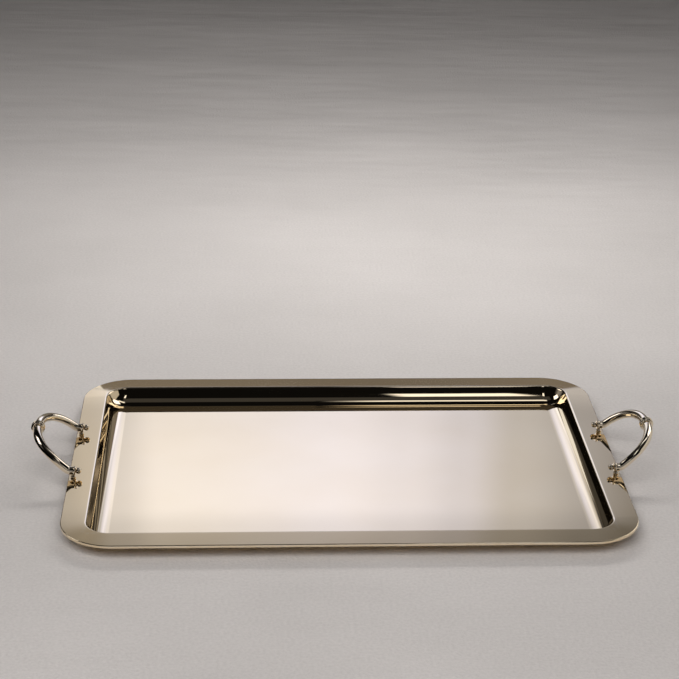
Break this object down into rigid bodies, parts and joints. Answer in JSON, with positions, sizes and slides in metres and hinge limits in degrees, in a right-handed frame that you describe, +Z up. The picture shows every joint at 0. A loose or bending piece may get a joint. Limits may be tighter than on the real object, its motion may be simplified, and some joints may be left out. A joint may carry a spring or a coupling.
{
  "type": "serving tray",
  "caption": "Rectangular polished brass serving tray: shallow pressed pan with a flat rim and round corners, and a raised bow handle with a ridged collar at each end",
  "frame": {"origin": "middle of the tray's footprint, on the plane it rests on", "axes": "+X along the tray's length towards the right handle, +Y across it towards the back edge, +Z up"},
  "size_m": [0.6258, 0.382, 0.0537],
  "materials": {
    "tray_brass": "mirror polished",
    "handle_brass": "mirror polished",
    "turned_brass": "mirror polished",
    "screw_steel": "bright zinc plated"
  },
  "bodies": {
    "root": {"tray_pan": "tray_brass", "handle_bow_left": "handle_brass", "handle_bow_right": "handle_brass", "handle_collar_left": "turned_brass", "handle_collar_right": "turned_brass", "end_cap_left_front": "turned_brass", "end_cap_left_back": "turned_brass", "end_cap_right_front": "turned_brass", "end_cap_right_back": "turned_brass", "foot_post_left_front": "turned_brass", "foot_post_left_back": "turned_brass", "foot_post_right_front": "turned_brass", "foot_post_right_back": "turned_brass", "screw_left_front": "screw_steel", "screw_left_back": "screw_steel", "screw_right_front": "screw_steel", "screw_right_back": "screw_steel", "washer_left_front": "screw_steel", "washer_left_back": "screw_steel", "washer_right_front": "screw_steel", "washer_right_back": "screw_steel"}
  },
  "joints": []
}
